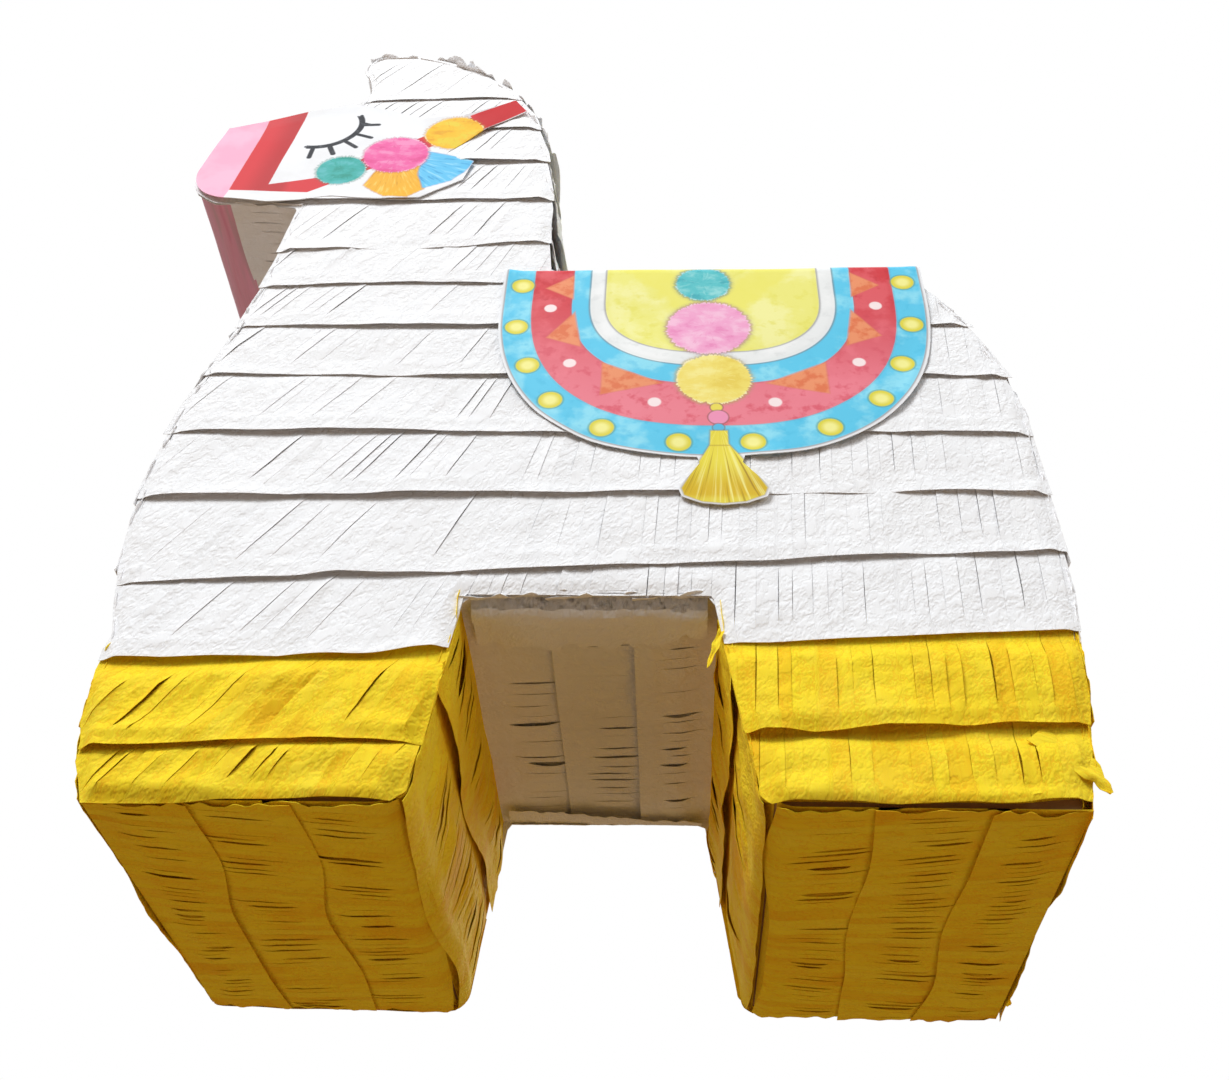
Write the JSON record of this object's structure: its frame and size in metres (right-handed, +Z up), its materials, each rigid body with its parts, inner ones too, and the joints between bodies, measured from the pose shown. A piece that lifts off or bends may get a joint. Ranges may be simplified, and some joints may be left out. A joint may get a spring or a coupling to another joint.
{
  "type": "pinata",
  "caption": "Llama-shaped cardboard pinata dressed in overlapping crepe paper fringe, with printed saddle and bridle, a fill flap in the rump and rope holes in the back.",
  "frame": {"origin": "on the ground plane under the middle of the object's box", "axes": "+Z up, -X the way the head looks, Y across the body from side panel to side panel"},
  "size_m": [0.3101, 0.1312, 0.399],
  "materials": {
    "corrugated_card": "matte",
    "wall_card": "matte",
    "bar_wood": "matte",
    "white_crepe": "matte",
    "yellow_crepe": "matte",
    "pink_paper": "matte",
    "saddle_print": "satin",
    "face_print": "satin"
  },
  "bodies": {
    "shell": {"back_fringe": "white_crepe", "back_panel": "corrugated_card", "back_row_01": "white_crepe", "back_row_02": "white_crepe", "back_row_03": "white_crepe", "back_row_04": "white_crepe", "back_row_05": "white_crepe", "back_row_06": "white_crepe", "back_row_07": "white_crepe", "back_row_08": "white_crepe", "back_row_09": "white_crepe", "back_row_10": "white_crepe", "back_row_11": "white_crepe", "back_row_12": "white_crepe", "back_wall": "wall_card", "back_yellow_row_1": "yellow_crepe", "back_yellow_row_2": "yellow_crepe", "belly_arch": "wall_card", "belly_fringe": "white_crepe", "brow_fringe": "white_crepe", "brow_wall": "wall_card", "chest_fringe": "white_crepe", "chest_wall": "wall_card", "ear_fringe": "white_crepe", "ear_wall": "wall_card", "face_print_back": "face_print", "face_print_front": "face_print", "front_foot_sole": "wall_card", "front_leg_fringe": "yellow_crepe", "front_panel": "corrugated_card", "front_row_01": "white_crepe", "front_row_02": "white_crepe", "front_row_03": "white_crepe", "front_row_04": "white_crepe", "front_row_05": "white_crepe", "front_row_06": "white_crepe", "front_row_07": "white_crepe", "front_row_08": "white_crepe", "front_row_09": "white_crepe", "front_row_10": "white_crepe", "front_row_11": "white_crepe", "front_row_12": "white_crepe", "front_yellow_row_1": "yellow_crepe", "front_yellow_row_2": "yellow_crepe", "hanger_bar": "bar_wood", "hanger_plate": "wall_card", "hind_foot_sole": "wall_card", "hind_leg_fringe": "yellow_crepe", "jaw_fringe": "white_crepe", "muzzle_wall": "wall_card", "muzzle_wrap": "pink_paper", "nape_fringe": "white_crepe", "nape_wall": "wall_card", "rump_fringe": "white_crepe", "rump_wall": "wall_card", "saddle": "saddle_print"},
    "flap": {"fill_flap": "wall_card", "flap_fringe": "white_crepe"}
  },
  "joints": [
    {"name": "flap_hinge", "type": "hinge", "parent": "shell", "child": "flap", "pos_m": [0.15235, 0, 0.141], "axis": [0, -1, 0], "range_deg": [0, 110]}
  ]
}
